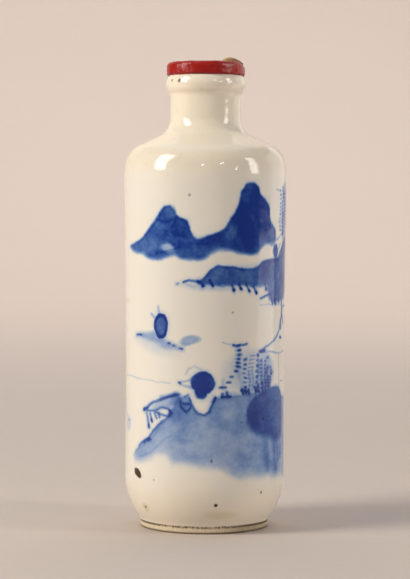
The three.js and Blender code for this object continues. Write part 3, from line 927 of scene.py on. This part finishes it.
collarForm = {
    "radius": 6.72,
    "edge": 0.7,
    "lowerEdge": 0.35,
    "hole": 3.2,
    "sides": 144,
    "wornAngle": 84,
    "wornDrop": 0.45,
    "wornReach": 3,
    "unevenness": ((2.2, 0.16), (0.8, 0.05)),  # width and depth of the lumps
    "red": (0.35, 0.009, 0.004),
    "deepRed": (0.3, 0.004, 0.002),
    "dullRed": (0.16, 0.008, 0.006),
    "shadedLowerRed": (0.13, 0.008, 0.004),
    "shine": 0.36,
    "lumpDepth": 0.32,
}


def redMoulding():
    finish = Finish("redMoulding")
    form = collarForm
    _, _, z = finish.parts(finish.place)
    cloud = finish.noise(1.9, 3, 0.6, 0.4, seed=21)
    colour = finish.mix(cloud.fade(0.34, 0.68), form["deepRed"], form["red"])
    dull = finish.noise(0.7, 3, 0.6, seed=22).fade(0.55, 0.75)
    colour = finish.mix(dull * 0.35, colour, form["dullRed"])
    # painted shade: the red darkened along the collar's lowest edge, where it meets the bottle
    low = (z / mm).fade(collarLow.z + 0.45, collarLow.z + 0.05)
    colour = finish.mix(low * 0.5, colour, form["shadedLowerRed"])
    lumps = finish.noise(1.7, 2, 0.5, 0.6, seed=23) * 0.7 + finish.noise(0.45, 2, 0.6, seed=24) * 0.16
    rough = finish.noise(1.1, 2, seed=25) * 0.16 + 0.22
    return finish.surface(colour, rough, finish.bump(lumps, form["lumpDepth"], 0.9), form["shine"])


def roundPlace(radius, angle, height):
    # angle 0 is the front of the bottle and 90 its right
    turn = math.radians(angle)
    return Vector((math.sin(turn) * radius, -math.cos(turn) * radius, height)) * mm


def wearDown(piece, middle, drop, reach):
    # pulls the surface down round one place, as rubbing has
    selectOnly(piece)
    nearest = min(piece.data.vertices, key=lambda vertex: (vertex.co - middle).length).index
    selectNoMesh()
    piece.data.vertices[nearest].select = True
    bpy.ops.object.mode_set(mode="EDIT")
    bpy.ops.transform.translate(value=(0, 0, -drop * mm), use_proportional_edit=True,
                                proportional_edit_falloff="SMOOTH", proportional_size=reach * mm)
    bpy.ops.object.mode_set(mode="OBJECT")


def makeCollar():
    form = collarForm
    low, top, edge, lowerEdge = collarLow.z, collarHigh.z, form["edge"], form["lowerEdge"]
    profile = arcPoints((form["radius"] - lowerEdge, low + lowerEdge), lowerEdge, -90, 0, 5)
    profile += straight(profile[-1], (form["radius"], top - edge), 5)
    profile += arcPoints((form["radius"] - edge, top - edge), edge, 0, 90, 9)
    hole = arcPoints((form["hole"] + lowerEdge, top - lowerEdge), lowerEdge, 90, 180, 5)
    profile += straight(profile[-1], hole[0], 9) + hole
    bottom = [(form["hole"], low + 0.6), (form["hole"], low)]
    profile += bottom + straight(bottom[-1], profile[0], 6) + [profile[0]]
    collar = spunPiece("redCollar", profile, form["sides"])
    wornSpot = roundPlace(form["radius"], form["wornAngle"], top - 0.2)
    wearDown(collar, wornSpot, form["wornDrop"], form["wornReach"])
    for width, depth in form["unevenness"]:
        uneven(collar, width, depth)
    place(collar, "collar", redMoulding())
    smooth(collar, 40)
    print("collar modelled,", len(collar.data.polygons), "faces")


waxForm = {
    # each lump: angle round the collar, radius, half width, half height
    "lumps": [(42, 4.9, 0.55, 0.44), (47, 5, 0.85, 0.66), (53, 5.1, 1, 0.74), (60, 5.1, 1, 0.68),
              (66, 5.2, 0.95, 0.58), (72, 5.3, 0.9, 0.46), (78, 5.5, 0.85, 0.36), (84, 5.7, 0.8, 0.28),
              (90, 5.8, 0.6, 0.2), (50, 4.1, 0.42, 0.3)],
    "sagStart": 74,
    "sagEnd": 90,
    "sag": 0.4,
    "grain": 0.09,
    "unevenness": ((0.7, 0.12), (0.25, 0.05)),
    "ochre": (0.36, 0.21, 0.055),
    "paleOchre": (0.46, 0.3, 0.11),
    "brown": (0.26, 0.05, 0.018),
}


def oldWax():
    finish = Finish("oldWax")
    x, _, _ = finish.parts(finish.place)
    grain = finish.noise(0.5, 3, 0.65, seed=31)
    colour = finish.mix(grain.fade(0.35, 0.65), waxForm["ochre"], waxForm["paleOchre"])
    redder = ((x / mm) + (grain - 0.5) * 2).fade(3.9, 5.2)
    colour = finish.mix(redder * 0.85, colour, waxForm["brown"])
    return finish.surface(colour, grain * 0.2 + 0.42, finish.bump(grain, 0.2, 0.8))


def makeWax():
    form = waxForm
    bpy.ops.object.select_all(action="DESELECT")
    lumps = []
    for angle, radius, width, height in form["lumps"]:
        sag = form["sag"] * max(0, angle - form["sagStart"]) / (form["sagEnd"] - form["sagStart"])
        bpy.ops.mesh.primitive_uv_sphere_add(segments=32, ring_count=16, radius=mm,
                                             location=roundPlace(radius, angle, collarHigh.z - sag))
        bpy.ops.transform.resize(value=(width, width, height))
        lumps.append(bpy.context.object)
    for lump in lumps:
        lump.select_set(True)
    bpy.context.view_layer.objects.active = lumps[0]
    bpy.ops.object.join()
    wax = bpy.context.object
    wax.name = "waxLeft"
    bpy.ops.object.transform_apply(location=True, rotation=True, scale=True)
    applyModifier(wax, "REMESH", mode="VOXEL", voxel_size=form["grain"] * mm)
    applyModifier(wax, "SMOOTH", factor=0.8, iterations=8)
    for width, depth in form["unevenness"]:
        uneven(wax, width, depth)
    place(wax, "wax_smear", oldWax())
    smooth(wax, 60)
    print("wax modelled,", len(wax.data.polygons), "faces")


stageForm = {
    "width": 3,
    "turn": 0.7,
    "bend": 0.25,
    "bendAngle": 82,
    "upright": (0, 0.1, 0.9),
    "paper": (0.525, 0.447, 0.4),
    "lighterPaper": (0.55, 0.468, 0.419),
}


def palePaper():
    finish = Finish("palePaper")
    fibre = finish.noise(1.4, 4, 0.6, seed=41)
    blotch = finish.noise(60, 2, 0.5, seed=42)
    amount = fibre.fade(0.3, 0.7) * 0.5 + blotch * 0.5
    colour = finish.mix(amount, stageForm["paper"], stageForm["lighterPaper"])
    return finish.surface(colour, 0.85, finish.bump(fibre, 0.05, 0.5))


def makeStage():
    # a sheet of paper, flat under the bottle and turned up far behind it
    form = stageForm
    bpy.ops.object.select_all(action="DESELECT")
    bpy.ops.mesh.primitive_plane_add(size=form["width"], location=(0, form["turn"] - form["width"] / 2, 0))
    sweep = bpy.context.object
    sweep.name = "paperSweep"
    selectNoMesh()
    for edge in sweep.data.edges:
        edge.select = all(sweep.data.vertices[index].co.y > 0 for index in edge.vertices)
    bpy.ops.object.mode_set(mode="EDIT")
    bpy.ops.mesh.spin(steps=24, angle=-math.radians(form["bendAngle"]),
                      center=(0, form["turn"], form["bend"]), axis=(1, 0, 0))
    bpy.ops.mesh.extrude_region_move(TRANSFORM_OT_translate={"value": form["upright"]})
    bpy.ops.object.mode_set(mode="OBJECT")
    bpy.ops.object.transform_apply(location=True)
    sweep.data.materials.append(palePaper())
    smooth(sweep, 60)


lamps = {
    # azimuth, elevation, distance, size, how bright it looks, colour, and what it points at
    "windowLeft": (-68, 27.5, 0.4, (0.15, 0.28), 13.2, (1, 0.95, 0.85), (-0.009, -0.01, 0.062)),
    "panelRight": (72, 20, 0.4, (0.092, 0.23), 9.5, (1, 0.95, 0.87), (0.009, -0.01, 0.062)),
    "cardRight": (98, -4, 0.3, (0.19, 0.046), 1.4, (1, 0.9, 0.86), (0.012, 0, 0.0402)),
    "wallRight": (132, 14, 1, (1, 0.6), 0.9, (1, 0.97, 0.93), (0, 0, 0.055)),
    "ceiling": (180, 75, 0.9, (0.9, 0.9), 0.85, (0.8, 0.9, 1), (0, 0.1, 0)),
    "backdropLamp": (0, 30, 0.6, (1.2, 0.35), 8.6, (1, 0.94, 0.87), (-0.15, 1.02, 0.6)),
    "smallLampLeft": (-4, 17, 0.9, (0.03, 0.03), 45, (1, 0.97, 0.92), (0, 0, 0.055)),
    "smallLampMiddle": (24, 19, 0.9, (0.03, 0.03), 80, (1, 0.97, 0.92), (0, 0, 0.055)),
    "smallLampRight": (45, 10, 0.9, (0.03, 0.03), 26, (1, 0.97, 0.92), (0, 0, 0.055)),
}
room = {"colour": (0.82, 0.9, 1, 1), "strength": 0.17}


def areaLight(name, azimuth, elevation, distance, size, radiance, colour, target):
    # azimuth 0 is in front of the bottle and 90 to its right
    data = bpy.data.lights.new(name, "AREA")
    data.shape = "RECTANGLE"
    data.size, data.size_y = size
    data.energy = radiance * math.pi * size[0] * size[1]
    data.color = colour
    lamp = bpy.data.objects.new(name, data)
    bpy.context.collection.objects.link(lamp)
    side, rise = math.radians(azimuth), math.radians(elevation)
    out = Vector((math.sin(side) * math.cos(rise), -math.cos(side) * math.cos(rise), math.sin(rise)))
    lamp.location = Vector(target) + out * distance
    lamp.rotation_euler = out.to_track_quat("Z", "Y").to_euler()


def makeLights():
    for name, settings in lamps.items():
        areaLight(name, *settings)
    world = bpy.data.worlds.new("softRoom")
    bpy.context.scene.world = world
    world.use_nodes = True
    background = world.node_tree.nodes["Background"]
    background.inputs["Color"].default_value = room["colour"]
    background.inputs["Strength"].default_value = room["strength"]


viewForm = {
    "distance": 0.362,
    "height": 0.057,
    "aside": -0.00002,
    "tiltDown": 2.54,
    "roll": 0.22,
    "focal": 130,
}


def makeCamera():
    data = bpy.data.cameras.new("view")
    data.lens = viewForm["focal"]
    data.sensor_width = 36
    data.clip_start = 0.01
    camera = bpy.data.objects.new("view", data)
    bpy.context.collection.objects.link(camera)
    camera.location = (viewForm["aside"], -viewForm["distance"], viewForm["height"])
    tilt = Matrix.Rotation(math.radians(90 - viewForm["tiltDown"]), 4, "X")
    roll = Matrix.Rotation(math.radians(viewForm["roll"]), 4, "Z")
    camera.rotation_euler = (tilt @ roll).to_euler()
    bpy.context.scene.camera = camera


makeBottle()
makeCollar()
makeWax()
makeStage()
makeLights()
makeCamera()
bpy.context.scene.view_settings.view_transform = "Standard"
print("stage, lights and camera set")
